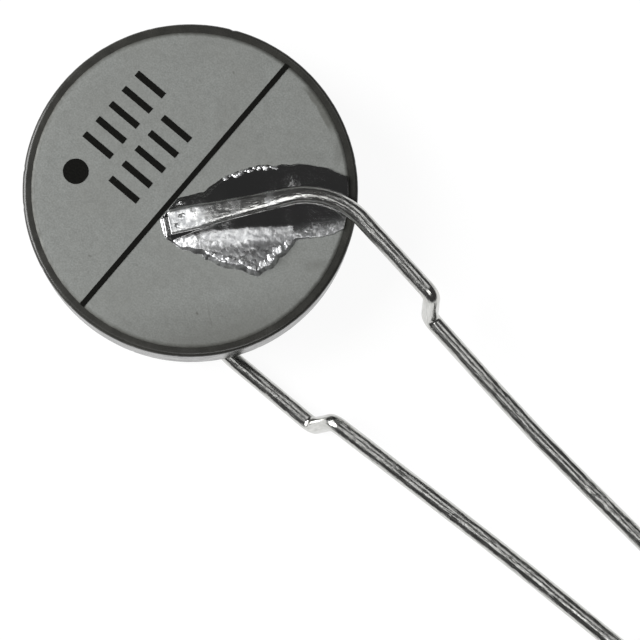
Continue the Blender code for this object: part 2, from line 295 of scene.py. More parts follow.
# Specks, smudges and a scratch: middle, half sizes, turn in degrees and darkness, and how they waver
SILVER_MARKS = (
    ((0.00373, -0.00282), (0.00060, 0.00003), -37, 0.4),
    ((0.00319, -0.00294), (0.00006, 0.00005), 0, 0.7),
    ((0.00390, -0.00242), (0.00006, 0.00003), 20, 0.4),
    ((0.00431, -0.00242), (0.00005, 0.00004), 0, 0.35),
    ((0.00506, 0.00108), (0.00040, 0.00016), 60, 0.2),
    ((0.00296, 0.00464), (0.00050, 0.00022), -55, 0.22),
    ((0.00221, 0.00365), (0.00070, 0.00024), 45, 0.12),
    ((0.00480, -0.00270), (0.00050, 0.00018), 65, 0.4),
    ((-0.00300, -0.00220), (0.00005, 0.00004), 0, 0.5),
    ((-0.00090, -0.00400), (0.00006, 0.00004), 30, 0.45),
    ((0.00120, -0.00150), (0.00004, 0.00004), 0, 0.4),
    ((-0.00160, 0.00410), (0.00005, 0.00003), 0, 0.4),
)
MARK_WAVER = 0.00016
MARK_WAVER_SIZE = 0.0003

# Silver: colours, sizes of its grain, and the soft edge over the ceramic
SILVER_DARK = (0.215, 0.224, 0.213)
SILVER_LIGHT = (0.305, 0.316, 0.303)
SILVER_CLOUD = (0.225, 0.228, 0.212)
SILVER_FLECK = (0.18, 0.183, 0.17)
# Colour of the dirt marks, also taken by the painted shade on one side of the silver
SILVER_DIRT_AND_SHADE = (0.09, 0.09, 0.076)
SILVER_RIM = (0.06, 0.06, 0.052)
SILVER_GRAIN_SIZE = 0.00006
SILVER_GRAIN_DEPTH = 0.000002
SILVER_CLOUD_SIZE = 0.0016
SILVER_FLECK_SIZE = 0.00022
SILVER_SHEEN_SIZE = 0.0003
SILVER_RIM_WIDTH = 0.00015
SILVER_RIM_WAVER = 0.00004
SILVER_RIM_WAVER_SIZE = 0.0002

# Ceramic: colours and sizes of its grain
CERAMIC_DARK = (0.026, 0.026, 0.0235)
CERAMIC_LIGHT = (0.039, 0.039, 0.035)
CERAMIC_PATCH = (0.05, 0.049, 0.043)
CERAMIC_GRAIN_SIZE = 0.00004
CERAMIC_GRAIN_DEPTH = 0.0000015
CERAMIC_PATCH_SIZE = 0.0007

# Tin on the wire: colours, and its marks by size, stretch along the wire and depth
TIN_DARK = (0.52, 0.52, 0.5)
TIN_LIGHT = (0.74, 0.74, 0.72)
FROSTED_TIN_DARK = (0.6, 0.61, 0.62)
FROSTED_TIN_LIGHT = (0.99, 1.0, 0.99)
DRAWN_SIZE = 0.00005
DRAWN_STRETCH = (0.1, 1, 1)
DRAWN_DEPTH = 0.0000034
DIMPLE_SIZE = 0.0001
DIMPLE_STRETCH = (0.22, 1, 1)
DIMPLE_DEPTH = 0.000022
WEAR_SIZE = 0.0009
WEAR_STRETCH = (0.5, 1, 1)
TIN_MOTTLE_SIZE = 0.0002

# Solder: colours and its relief
SOLDER_SMOOTH = (0.4, 0.4, 0.4)
FROSTED_SOLDER_DARK = (0.52, 0.525, 0.54)
FROSTED_SOLDER_LIGHT = (0.95, 0.96, 0.96)
SOLDER_MOTTLE_SIZE = 0.00018
SOLDER_SWELL_SIZE = 0.00014
SOLDER_SWELL_DEPTH = 0.000007
SOLDER_GRAIN_SIZE = 0.00005
SOLDER_GRAIN_DEPTH = 0.0000008

# Ink: colours and grain
INK_DARK = (0.003, 0.003, 0.0026)
INK_LIGHT = (0.009, 0.009, 0.0075)
INK_GRAIN_SIZE = 0.00005
INK_GRAIN_DEPTH = 0.000002

# Floor: size, gap to the part, greys, and its glow to the camera and in reflections, dark where they graze
FLOOR_HALF_SIZE = 3
FLOOR_GAP = 0.00001
FLOOR_GREY = (0.8, 0.8, 0.8, 1)
FLOOR_SEEN_GREY = (0.11, 0.11, 0.11, 1)
FLOOR_GLOW_TO_CAMERA = 0.93
FLOOR_GLOW_STEEP = 0.9
FLOOR_GLOW_GRAZING = 0.03
FLOOR_GRAZING = (0.78, 0.95)

# Lamps: angles from straight up along the leads and across them, width and height in degrees, radiance
LAMPS = {
    "lamp_beyond": ((0, 34), (24, 18), 0.95),
    "lamp_before": ((0, -18), (24, 15), 0.95),
    "lamp_aside": ((26, -15), (29, 16), 2.5),
    "lamp_left": ((-48, -36), (42, 42), 8.6),
}
LAMP_DISTANCE = 0.3
ROOM_STRENGTH = 0.05

# Camera: lens, and places from the middle of the printed face
CAMERA_SENSOR_WIDTH = 36
CAMERA_LENS = 179.07
CAMERA_PLACE = Vector((0.010618, -0.009527, 0.110098))
CAMERA_AIM = Vector((0.006405, -0.000296, 0))
CAMERA_UP_HEADING = radians(132.63)
CAMERA_CLIP_START = 0.005
CAMERA_CLIP_END = 10


def curve_value(points, place):
    """A smooth curve through (place, value) points, flat outside them."""
    if place <= points[0][0]:
        return points[0][1]
    for (start, low), (end, high) in zip(points, points[1:]):
        if place <= end:
            share = (place - start) / (end - start)
            eased = share * share * (3 - 2 * share)
            return low + (high - low) * (eased + share) / 2
    return points[-1][1]


def smooth_min(first, second, blend):
    """The lower of two heights, with a rounded change between them."""
    overlap = max(0, blend - abs(first - second))
    return min(first, second) - overlap * overlap / (4 * blend)


def smooth_max(first, second, blend):
    """The higher of two heights, with a rounded change between them."""
    return -smooth_min(-first, -second, blend)


def ramp(value, start, end):
    """0 up to start, 1 from end on, and smooth between them."""
    share = min(1, max(0, (value - start) / (end - start)))
    return share * share * (3 - 2 * share)


def ripple(point, size, seed, octaves=3):
    """Smooth noise of about -1 to 1 whose features have the given size."""
    total = 0
    for octave in range(octaves):
        scaled = point * (2**octave / size) + Vector((seed, 2.7 * seed, octave * 5.3))
        total += noise.noise(scaled) / 2**octave
    return total


def add_piece(name, vertices, faces, material, place, replaced, attributes=None):
    """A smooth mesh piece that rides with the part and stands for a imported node."""
    mesh = bpy.data.meshes.new(name)
    mesh.from_pydata(vertices, [], faces)
    for key, values in (attributes or {}).items():
        table = np.array(values, np.float32)
        is_vector = table.ndim == 2
        layer = mesh.attributes.new(key, "FLOAT_VECTOR" if is_vector else "FLOAT", "POINT")
        layer.data.foreach_set("vector" if is_vector else "value", table.ravel())
    mesh.validate()
    mesh.shade_smooth()
    mesh.set_sharp_from_angle(angle=SHARP_ANGLE)
    mesh.materials.append(material)
    piece = bpy.data.objects.new(name, mesh)
    bpy.context.scene.collection.objects.link(piece)
    piece.matrix_world = place
    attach(piece, "root")
    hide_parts(replaced)


# Node helpers


def new_material(name):
    """A node material with its tree and shader."""
    material = bpy.data.materials.new(name)
    material.use_nodes = True
    tree = material.node_tree
    return material, tree, tree.nodes["Principled BSDF"]


def node(tree, kind, inputs=None, **settings):
    """Add a node, and set or link its inputs."""
    made = tree.nodes.new(kind)
    for name, value in settings.items():
        setattr(made, name, value)
    fill(tree, made, inputs or {})
    return made


def fill(tree, target, inputs):
    """Set or link a node's inputs by name or number."""
    for name, value in inputs.items():
        if isinstance(value, bpy.types.NodeSocket):
            tree.links.new(value, target.inputs[name])
        else:
            target.inputs[name].default_value = value


def place_of(tree):
    """The point on the piece in its own frame."""
    return node(tree, "ShaderNodeTexCoord").outputs["Object"]


def attribute_of(tree, name, output):
    """A value that the mesh carries at each of its points."""
    return node(tree, "ShaderNodeAttribute", attribute_name=name).outputs[output]


def grain(tree, point, size, detail, roughness=0.55):
    """Noise of 0 to 1 with features of the given size."""
    inputs = {"Vector": point, "Scale": 1 / size, "Detail": detail, "Roughness": roughness}
    return node(tree, "ShaderNodeTexNoise", inputs).outputs["Fac"]


def map_range(tree, value, start, end, low=0.0, high=1.0):
    """A value rescaled from one range to another, and held inside it."""
    inputs = {"Value": value, "From Min": start, "From Max": end, "To Min": low, "To Max": high}
    return node(tree, "ShaderNodeMapRange", inputs).outputs["Result"]


def maths(tree, operation, first, second):
    """One step of arithmetic."""
    return node(tree, "ShaderNodeMath", {0: first, 1: second}, operation=operation).outputs[0]


def vector_maths(tree, operation, output, *values):
    """One step of arithmetic on points."""
    made = node(tree, "ShaderNodeVectorMath", dict(enumerate(values)), operation=operation)
    return made.outputs[output]


def blend(tree, share, first, second):
    """A mix of two numbers."""
    return node(tree, "ShaderNodeMix", {0: share, 2: first, 3: second}).outputs[0]


def blend_colour(tree, share, first, second):
    """A mix of two colours."""
    made = node(tree, "ShaderNodeMix", data_type="RGBA")
    for socket, value in ((0, share), (6, first), (7, second)):
        if isinstance(value, tuple):
            value = (*value, 1)
        fill(tree, made, {socket: value})
    return made.outputs[2]


def bump(tree, height, distance, before=None):
    """Small relief, on top of any earlier relief."""
    inputs = {"Height": height, "Distance": distance, "Strength": 1.0}
    if before:
        inputs["Normal"] = before
    return node(tree, "ShaderNodeBump", inputs).outputs["Normal"]


def stretched(tree, point, stretch):
    """The same point with each axis scaled."""
    return vector_maths(tree, "MULTIPLY", 0, point, stretch)


def length_of(tree, point):
    """Distance of a point from its origin."""
    return vector_maths(tree, "LENGTH", "Value", point)


def radius_of(tree, point):
    """Distance from the disc's axis."""
    return length_of(tree, stretched(tree, point, (1, 1, 0)))


def spot(tree, point, middle, size, turn, soft=0.5):
    """1 inside an ellipse round a place on the face, and 0 outside it."""
    moved = vector_maths(tree, "SUBTRACT", 0, point, (*middle, 0))
    rotation = {"Vector": moved, "Angle": -turn}
    turned_back = node(tree, "ShaderNodeVectorRotate", rotation, rotation_type="Z_AXIS").outputs[0]
    away = length_of(tree, stretched(tree, turned_back, (1 / size[0], 1 / size[1], 0)))
    return map_range(tree, away, 1 - soft, 1 + soft, 1, 0)


# Finishes


def silver_marks_and_shade(tree, point):
    """How dark the silver is: its handling marks (stains, a scratch, specks) and a painted shade toward one
    side.
    """
    wave = {"Vector": point, "Scale": 1 / MARK_WAVER_SIZE, "Detail": 3.0}
    waver = node(tree, "ShaderNodeTexNoise", wave).outputs["Color"]
    shifted = vector_maths(tree, "MULTIPLY_ADD", 0, waver, (MARK_WAVER, MARK_WAVER, 0), point)
    # Painted shade: the silver darkens toward one side
    toward_side = vector_maths(tree, "DOT_PRODUCT", "Value", point, SHADED_SIDE)
    dark = map_range(tree, toward_side, SHADE_START, SHADE_END, 0, SHADE_DARKNESS)
    stain = spot(tree, shifted, STAIN_MIDDLE, STAIN_SIZE, 0, 0.2)
    stain_edge = STAIN_RADIUS + STAIN_EDGE_WIDTH
    at_edge = map_range(tree, radius_of(tree, shifted), STAIN_RADIUS, stain_edge, 0, STAIN_DARKNESS)
    dark = maths(tree, "MAXIMUM", dark, maths(tree, "MULTIPLY", stain, at_edge))
    for middle, size, turn, strength in SILVER_MARKS:
        mark = spot(tree, shifted, middle, size, radians(turn))
        dark = maths(tree, "MAXIMUM", dark, maths(tree, "MULTIPLY", mark, strength))
    return dark


def make_silver():
    """Fired silver: matte grey with fine speckle, stains near the rim, painted shade toward one side and a
    soft edge over the ceramic.
    """
    material, tree, shader = new_material("fired_silver")
    point = place_of(tree)
    fine = grain(tree, point, SILVER_GRAIN_SIZE, 4)
    clouds = grain(tree, point, SILVER_CLOUD_SIZE, 3)
    flecks = grain(tree, point, SILVER_FLECK_SIZE, 3)
    colour = blend_colour(tree, map_range(tree, fine, 0.3, 0.7), SILVER_DARK, SILVER_LIGHT)
    colour = blend_colour(tree, map_range(tree, clouds, 0.35, 0.7, 0, 0.35), colour, SILVER_CLOUD)
    colour = blend_colour(tree, map_range(tree, flecks, 0.5, 0.75, 0, 0.3), colour, SILVER_FLECK)
    # The marks and the painted shade on one side both darken the silver toward the dirt colour
    colour = blend_colour(tree, silver_marks_and_shade(tree, point), colour, SILVER_DIRT_AND_SHADE)
    waver = grain(tree, point, SILVER_RIM_WAVER_SIZE, 2)
    shift = map_range(tree, waver, 0, 1, -SILVER_RIM_WAVER, SILVER_RIM_WAVER)
    ragged = maths(tree, "ADD", radius_of(tree, point), shift)
    at_rim = map_range(tree, ragged, SILVER_RADIUS - SILVER_RIM_WIDTH, SILVER_RADIUS)
    colour = blend_colour(tree, at_rim, colour, SILVER_RIM)
    fill(tree, shader, {"Base Color": colour, "Metallic": 0.4})
    rough = map_range(tree, grain(tree, point, SILVER_SHEEN_SIZE, 3), 0.3, 0.7, 0.46, 0.58)
    fill(tree, shader, {"Roughness": rough, "Normal": bump(tree, fine, SILVER_GRAIN_DEPTH)})
    return material


def make_ceramic():
    """Sintered ceramic: dark, faintly olive and fine grained."""
    material, tree, shader = new_material("sintered_ceramic")
    point = place_of(tree)
    fine = grain(tree, point, CERAMIC_GRAIN_SIZE, 4)
    patches = grain(tree, point, CERAMIC_PATCH_SIZE, 3)
    colour = blend_colour(tree, map_range(tree, fine, 0.3, 0.7), CERAMIC_DARK, CERAMIC_LIGHT)
    colour = blend_colour(tree, map_range(tree, patches, 0.4, 0.75, 0, 0.5), colour, CERAMIC_PATCH)
    fill(tree, shader, {"Base Color": colour, "IOR": 1.5})
    rough = map_range(tree, patches, 0.3, 0.7, 0.18, 0.28)
    fill(tree, shader, {"Roughness": rough, "Normal": bump(tree, fine, CERAMIC_GRAIN_DEPTH)})
    return material


def make_wire():
    """Bright tin on drawn wire, with marks along it, and frosted where the tip was pinched."""
    material, tree, shader = new_material("bright_tin")
    straight = attribute_of(tree, "straight", "Vector")
    frost = attribute_of(tree, "frost", "Fac")
    drawn = grain(tree, stretched(tree, straight, DRAWN_STRETCH), DRAWN_SIZE, 3)
    dimpled = grain(tree, stretched(tree, straight, DIMPLE_STRETCH), DIMPLE_SIZE, 3)
    mottle = grain(tree, straight, TIN_MOTTLE_SIZE, 4, 0.6)
    polished_colour = blend_colour(tree, map_range(tree, drawn, 0.3, 0.7), TIN_DARK, TIN_LIGHT)
    light_share = map_range(tree, mottle, 0.4, 0.6)
    frosted_colour = blend_colour(tree, light_share, FROSTED_TIN_DARK, FROSTED_TIN_LIGHT)
    colour = blend_colour(tree, frost, polished_colour, frosted_colour)
    fill(tree, shader, {"Base Color": colour, "Metallic": 1.0})
    polished = map_range(tree, drawn, 0.3, 0.7, 0.14, 0.26)
    frosted = map_range(tree, mottle, 0.3, 0.7, 0.42, 0.26)
    wear = grain(tree, stretched(tree, straight, WEAR_STRETCH), WEAR_SIZE, 2)
    worn = map_range(tree, wear, 0.36, 0.56, 0.35, 1)
    relief = bump(tree, maths(tree, "MULTIPLY", dimpled, worn), DIMPLE_DEPTH)
    relief = bump(tree, drawn, DRAWN_DEPTH, relief)
    fill(tree, shader, {"Roughness": blend(tree, frost, polished, frosted), "Normal": relief})
    return material


def make_solder():
    """Tin solder: bright and smooth where it flowed, frosted and mottled where it froze rough."""
    material, tree, shader = new_material("tin_solder")
    point = place_of(tree)
    frost = attribute_of(tree, "frost", "Fac")
    mottle = grain(tree, point, SOLDER_MOTTLE_SIZE, 5, 0.66)
    swell = grain(tree, point, SOLDER_SWELL_SIZE, 3, 0.5)
    fine = grain(tree, point, SOLDER_GRAIN_SIZE, 2)
    light_share = map_range(tree, mottle, 0.32, 0.66)
    colour = blend_colour(tree, light_share, FROSTED_SOLDER_DARK, FROSTED_SOLDER_LIGHT)
    colour = blend_colour(tree, frost, SOLDER_SMOOTH, colour)
    fill(tree, shader, {"Base Color": colour, "Metallic": 1.0})
    frosted = map_range(tree, mottle, 0.3, 0.7, 0.5, 0.34)
    rough = blend(tree, frost, 0.13, frosted)
    relief = bump(tree, swell, SOLDER_SWELL_DEPTH)
    relief = bump(tree, fine, SOLDER_GRAIN_DEPTH, relief)
    fill(tree, shader, {"Roughness": rough, "Normal": relief})
    return material


def make_ink():
    """Black print, slightly uneven."""
    material, tree, shader = new_material("black_ink")
    fine = grain(tree, place_of(tree), INK_GRAIN_SIZE, 4)
    colour = blend_colour(tree, map_range(tree, fine, 0.35, 0.7), INK_DARK, INK_LIGHT)
    rough = map_range(tree, fine, 0.3, 0.7, 0.5, 0.7)
    fill(tree, shader, {"Base Color": colour, "Roughness": rough, "Specular IOR Level": 0.06})
    fill(tree, shader, {"Normal": bump(tree, fine, INK_GRAIN_DEPTH)})
    return material


# Disc and silver


def turned(profile, waver):
    """A profile of (radius, height) turned round the disc's axis from top to foot, closed at both ends."""
    vertices = [Vector((0, 0, profile[0][1]))]
    faces = []
    for radius, height in profile:
        for facet in range(ROUND_FACETS):
            angle = 2 * pi * facet / ROUND_FACETS
            vertices.append(waver(radius, angle, height))
    vertices.append(Vector((0, 0, profile[-1][1])))
    last_ring = 1 + (len(profile) - 1) * ROUND_FACETS
    foot = len(vertices) - 1
    for facet in range(ROUND_FACETS):
        beside = (facet + 1) % ROUND_FACETS
        faces.append((1 + beside, 1 + facet, 0))
        for near in range(1, last_ring, ROUND_FACETS):
            far = near + ROUND_FACETS
            faces.append((near + beside, far + beside, far + facet, near + facet))
        faces.append((last_ring + beside, foot, last_ring + facet))
    return vertices, faces


def wall_noise(outward, height, waves, shift=0):
    """Smooth noise of -1 to 1 on the disc's wall, by its waves round it and up it."""
    waves_round, waves_up = waves
    point = Vector((outward.x * waves_round, outward.y * waves_round, height * waves_up + shift))
    return noise.noise(point)


def make_disc(material):
    """The ceramic disc, its wall faintly ribbed by the press and its rims slightly worn."""
    upper = [(DISC_RADIUS * share, CERAMIC_TOP) for share in (0.2, 0.5, 0.8, 0.93)]
    for step in range(RIM_ARC_STEPS + 1):
        turn = pi / 2 * step / RIM_ARC_STEPS
        inset = RIM_RADIUS * (1 - sin(turn))
        upper.append((DISC_RADIUS - inset, CERAMIC_TOP - RIM_RADIUS * (1 - cos(turn))))
    wall_top = CERAMIC_TOP - RIM_RADIUS
    wall = [(DISC_RADIUS, wall_top - 2 * wall_top * step / WALL_STEPS) for step in range(1, WALL_STEPS)]
    lower = [(radius, -height) for radius, height in reversed(upper)]

    def waver(radius, angle, height):
        outward = Vector((cos(angle), sin(angle), 0))
        at_wall = ramp(radius, DISC_RADIUS - 2 * RIM_RADIUS, DISC_RADIUS)
        at_rim = ramp(abs(height), CERAMIC_TOP - 2.2 * RIM_RADIUS, CERAMIC_TOP - 0.6 * RIM_RADIUS)
        press_mark = wall_noise(outward, height, PRESS_MARK_WAVES) + 1
        chip = max(0, wall_noise(outward, height, CHIP_WAVES, 7) - CHIP_RARITY)
        drawn_in = at_wall * (PRESS_MARK_DEPTH * press_mark + CHIP_DEPTH * chip * at_rim)
        return outward * (radius - drawn_in) + Vector((0, 0, height))

    vertices, faces = turned(upper + wall + lower, waver)
    add_piece("disc_body", vertices, faces, material, FRONT_PLACE, "ceramic_disc")


def make_electrode(side, place, material):
    """The silver layer, thinning out at its slightly uneven edge."""
    thickness = FACE_HEIGHT - CERAMIC_TOP
    profile = [(SILVER_RADIUS * share, FACE_HEIGHT) for share in (0.25, 0.5, 0.75, 0.92)]
    for share in (0, 0.25, 0.5, 0.75, 1):
        radius = SILVER_RADIUS - SILVER_EDGE_WIDTH * (1 - share)
        profile.append((radius, FACE_HEIGHT - SILVER_EDGE_LOSS * thickness * share**2))
    profile += [(SILVER_RADIUS, CERAMIC_TOP), (SILVER_RADIUS * 0.5, CERAMIC_TOP)]

    def waver(radius, angle, height):
        outward = Vector((cos(angle), sin(angle), 0))
        uneven = 1 + ripple(outward, SILVER_WAVER_SIZE, SEEDS[side])
        near_edge = ramp(radius, SILVER_RADIUS * 0.9, SILVER_RADIUS)
        return outward * (radius - near_edge * SILVER_EDGE_WAVER * uneven) + Vector((0, 0, height))

    vertices, faces = turned(profile, waver)
    add_piece(f"{side}_silver", vertices, faces, material, place, f"{side}_electrode")


# Leads


def filleted_path(corners, radii):
    """Points along straight runs joined by round bends, one radius for each inner corner."""
    points = [corners[0]]
    for before, corner, after, radius in zip(corners, corners[1:], corners[2:], radii):
        incoming = (corner - before).normalized()
        outgoing = (after - corner).normalized()
        turn = incoming.angle(outgoing)
        axis = incoming.cross(outgoing).normalized()
        start = corner - incoming * radius * tan(turn / 2)
        centre = start + axis.cross(incoming) * radius
        steps = ceil(turn / WIRE_BEND_STEP)
        for step in range(steps + 1):
            swing = Matrix.Rotation(turn * step / steps, 3, axis)
            points.append(centre + swing @ (start - centre))
    points.append(corners[-1])
    return points


def with_even_steps(points, longest):
    """The same route with extra points, so that no stretch is longer than one step."""
    route = [points[0]]
    for here, there in zip(points, points[1:]):
        pieces = max(1, ceil((there - here).length / longest))
        for step in range(1, pieces + 1):
            route.append(here.lerp(there, step / pieces))
    return route


def run_corner(lead):
    """Where the soldered run and the leg would meet if the bend were sharp."""
    x = DISC_RADIUS - BEND_FROM_RIM
    leg_run = KINK_X - KINK_RUN - x
    return Vector((x, LEAD_PITCH / 2 + lead["jog"] + leg_run * tan(lead["leg_toe_in"]), 0))


def lead_route(lead):
    """Centre line of a front lead, from its pinched tip on the face to its cut end."""
    height = Vector((0, 0, WIRE_AXIS_HEIGHT))
    bend = run_corner(lead) + height
    tip = bend - RUN_DIRECTION * SOLDERED_RUN
    kink_top = Vector((KINK_X - KINK_RUN, LEAD_PITCH / 2 + lead["jog"], 0)) + height
    kink_bottom = Vector((KINK_X, LEAD_PITCH / 2, 0))
    bow = kink_bottom + Vector((1, -tan(lead["end_toe_in"]), 0)) * lead["bow_past_kink"]
    end = bow + Vector((1, -tan(lead["late_toe_in"]), 0)) * (LEAD_LENGTH - lead["bow_past_kink"])
    corners = [tip, bend, kink_top, kink_bottom, bow, end]
    route = filleted_path(corners, [BEND_RADIUS, KINK_RADIUS, KINK_RADIUS, BOW_RADIUS])
    fine_end = tip + RUN_DIRECTION * TIP_FINE_LENGTH
    fine_part = with_even_steps([tip, fine_end], TIP_FINE_STEP)
    return fine_part + with_even_steps([fine_end] + route[1:], WIRE_STEP)[1:]


def wire_section(distance):
    """Width and thickness of the wire at a distance from its tip: pinched flat, then easing to round."""
    ease = min(1, max(0, (distance - TIP_FLAT_LENGTH) / TIP_TAPER_LENGTH)) ** TIP_TAPER_POWER
    width = TIP_WIDTH + (WIRE_DIAMETER - TIP_WIDTH) * ease
    thickness = TIP_THICKNESS + (WIRE_DIAMETER - TIP_THICKNESS) * ease
    return width, thickness


def pressed(rise, limit):
    """A height pressed down so that the round wire's top comes to a limit, with small rounded corners."""
    squeeze = (WIRE_RADIUS / limit) ** PRESS_POWER - 1
    return rise / (1 + squeeze * abs(rise / WIRE_RADIUS) ** PRESS_POWER) ** (1 / PRESS_POWER)


def pit_depth(distance, across):
    """Depth of the two small pits in the pinched tip."""
    depth = 0
    for place, beside, length, width in TIP_PITS:
        away = ((distance - place) / length) ** 2 + ((across - beside) / width) ** 2
        depth += TIP_PIT_DEPTH * max(0, 1 - away)
    return depth


def coat_swell(distance, across, up, seed):
    """How far the wire's coat stands out at a place, as a factor on its radius."""
    swell = 1
    for waves_along, waves_across, shift, height in COAT_WAVES:
        point = Vector((distance * waves_along + seed, across * waves_across, up * waves_across + shift))
        swell += height * noise.noise(point)
    return swell


def wire_ring(distance, heading, upward, seed):
    """Points round the wire at a distance from its tip: offset from its axis, place on it, and frost."""
    sideways = upward.cross(heading).normalized()
    width, thickness = wire_section(distance)
    pinch = 1 - ramp(distance, TIP_FLAT_LENGTH, TIP_FLAT_LENGTH + TIP_TAPER_LENGTH)
    skew = Matrix.Rotation(TIP_SKEW * (1 - ramp(distance, *SKEW_EASING)), 3, heading)
    worn_end = 1 - WORN_END_LOSS * (1 - ramp(distance, 0, WORN_END_LENGTH))
    ring = []
    for facet in range(WIRE_FACETS):
        angle = 2 * pi * facet / WIRE_FACETS
        across = cos(angle) * WIRE_RADIUS
        up = sin(angle) * WIRE_RADIUS
        dent = ripple(Vector((distance, across, 0)), DENT_SIZE, seed)
        rise = pressed(up, thickness / 2) * worn_end
        if up > 0:
            rise += pinch * (TIP_DENT_DEPTH * dent - pit_depth(distance, across))
        swell = coat_swell(distance, across, up, seed)
        offset = sideways * (width / 2 * cos(angle) * swell * worn_end) + upward * rise
        frost = curve_value(WIRE_FROST, distance + WIRE_FROST_WANDER * dent) * (1 + 0.3 * dent)
        ring.append((skew @ offset, (distance, across, up), min(1, max(0, frost))))
    return ring


def tube_faces(rings):
    """Faces of the wire between its rings, and over both of its ends."""
    faces = []
    for near in range(0, (rings - 1) * WIRE_FACETS, WIRE_FACETS):
        far = near + WIRE_FACETS
        for facet in range(WIRE_FACETS):
            beside = (facet + 1) % WIRE_FACETS
            faces.append((near + facet, near + beside, far + beside, far + facet))
    faces.append(tuple(reversed(range(WIRE_FACETS))))
    faces.append(tuple(range((rings - 1) * WIRE_FACETS, rings * WIRE_FACETS)))
    return faces


def make_lead(side, place, lead, material):
    """The tinned lead: its round section is pressed flat at the tip, and its coat is faintly uneven."""
    route = lead_route(lead)
    last = len(route) - 1
    vertices, straight, frost = [], [], []
    distance = 0
    upward = Vector((0, 0, 1))
    heading = (route[1] - route[0]).normalized()
    for index, point in enumerate(route):
        before = route[max(index - 1, 0)]
        ahead = (route[min(index + 1, last)] - before).normalized()
        upward = heading.rotation_difference(ahead) @ upward
        heading = ahead
        distance += (point - before).length
        for offset, place_on_wire, frosted in wire_ring(distance, heading, upward, SEEDS[side]):
            corner = point + offset
            if index == last:
                corner += heading * ((LEAD_END_X - corner.x) / heading.x)
            vertices.append(corner)
            straight.append(place_on_wire)
            frost.append(frosted)
    faces = tube_faces(len(route))
    attributes = {"straight": straight, "frost": frost}
    add_piece(f"{side}_wire", vertices, faces, material, place, f"{side}_lead", attributes)


# Solder


def line_limit():
    """How far the solder may reach away from the leads before it meets the printed line."""
    line_low, line_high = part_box("print_line")
    slant = atan2(line_high.x - line_low.x, line_high.y - line_low.y)
    away = Vector((-cos(slant), -sin(slant), 0))
    line_middle = (line_low + line_high) / 2 - DISC_MIDDLE
    return away, line_middle.dot(away) - LINE_TO_SOLDER


def solder_body(along, reach, inward, is_outer):
    """Height of the solder above the face away from its blunt edge.

    reach is the distance from the wire's side, and inward the distance from its outline.
    """
    crest = curve_value(CREST, along)
    if is_outer:
        share = 1 - min(1, reach / OUTER_ROOM)
        return OUTER_EDGE_HEIGHT + (crest - OUTER_EDGE_HEIGHT) * share**OUTER_FALL_POWER
    level_slope = curve_value(LEVEL_SLOPE, along)
    level = crest - level_slope * reach
    past_shoulder = max(0, reach - curve_value(SHOULDER, along))
    slope = level - (INNER_SLOPE - level_slope) * past_shoulder
    apron = curve_value(APRON_EDGE_HEIGHT, along) + APRON_SLOPE * inward
    main = smooth_min(level, smooth_max(slope, apron, CREASE_BLEND), CREASE_BLEND)
    film = smooth_max(level, FILM_HEIGHT, CREASE_BLEND)
    return main + (film - main) * ramp(along, FILM_START, FILM_START + FILM_BLEND)


def tip_collar(along, across):
    """Height of the solder that holds the pinched tip from below, falling steeply all round it."""
    before = max(0, -SOLDERED_RUN - along)
    beside = max(0, abs(across) - TIP_WIDTH / 2)
    return TIP_COLLAR_HEIGHT - hypot(before, beside)


def blunt_edge(height, along, inward):
    """The height held down near the outline, with a low foot before the tip."""
    before_tip = 1 - ramp(along, *TIP_FOOT_EASING)
    foot = min(TIP_FOOT_HEIGHT, TIP_EDGE_SLOPE * inward)
    foot += TIP_WALL_SLOPE * max(0, inward - TIP_FOOT_HEIGHT / TIP_EDGE_SLOPE)
    limit = curve_value(EDGE_SLOPE, along) * inward
    return smooth_min(height, limit + (foot - limit) * before_tip, EDGE_BLEND)


def solder_frost(along, reach, is_outer, dent):
    """How frosted the solder is, from 0 where it flowed smooth to 1 where it froze rough."""
    if is_outer:
        return 0
    shoulder = curve_value(SHOULDER, along)
    frost_from, frost_to = FROST_EASING
    dull_from, dull_to = DULL_EASING
    past_shoulder = ramp(reach + FROST_WANDER * dent, shoulder + frost_from, shoulder + frost_to)
    dull = ramp(reach + DULL_WANDER * dent, shoulder + dull_from, shoulder + dull_to)
    main = past_shoulder * (1 - 0.45 * dull + 0.25 * dent)
    past_film = ramp(reach + FROST_WANDER * dent, FILM_FROST_REACH, FILM_FROST_REACH + FILM_FROST_BLEND)
    film = past_film * (0.82 + 0.3 * dent)
    in_film = ramp(along, FILM_START, FILM_START + FILM_FROST_EASING)
    return min(1, max(0, main + (film - main) * in_film)) * ramp(along, *TIP_FROST_EASING)


def kept_on_silver(flat, away, limit):
    """A place on the face, moved back where it would cross the printed line or the silver's edge."""
    flat = flat - away * max(0, flat.dot(away) - limit)
    beyond = flat.length - SILVER_RADIUS + RIM_GAP
    if beyond > 0:
        flat *= (flat.length - beyond) / flat.length
    return flat


def solder_grid(lead, seed):
    """Points of the puddle in columns along the run, each with its places on the face and by the wire."""
    corner = run_corner(lead)
    away, limit = line_limit()
    grid = []
    for column in range(SOLDER_COLUMNS):
        along = SOLDER_START + (SOLDER_END - SOLDER_START) * column / SOLDER_STEPS_ALONG
        half_width = wire_section(max(0, along + SOLDERED_RUN))[0] / 2
        half_wire = half_width * ramp(along, SOLDER_START, -SOLDERED_RUN)
        for row in range(SOLDER_ROWS):
            side_share = 2 * row / SOLDER_STEPS_ACROSS - 1
            is_outer = side_share > 0
            edge = OUTER_EDGE if is_outer else INNER_EDGE
            raggedness = OUTER_RAGGEDNESS if is_outer else INNER_RAGGEDNESS
            sample = Vector((along, side_share * RAG_CHANGE_ACROSS, 0))
            rag = ripple(sample, RAG_SIZE, seed + is_outer, 4)
            across = side_share * (curve_value(edge, along) + raggedness * rag)
            flat = corner + RUN_DIRECTION * along + RUN_OUTWARD * across
            reach = max(0, abs(across) - half_wire)
            grid.append((kept_on_silver(flat, away, limit), along, across, reach, is_outer))
    return grid


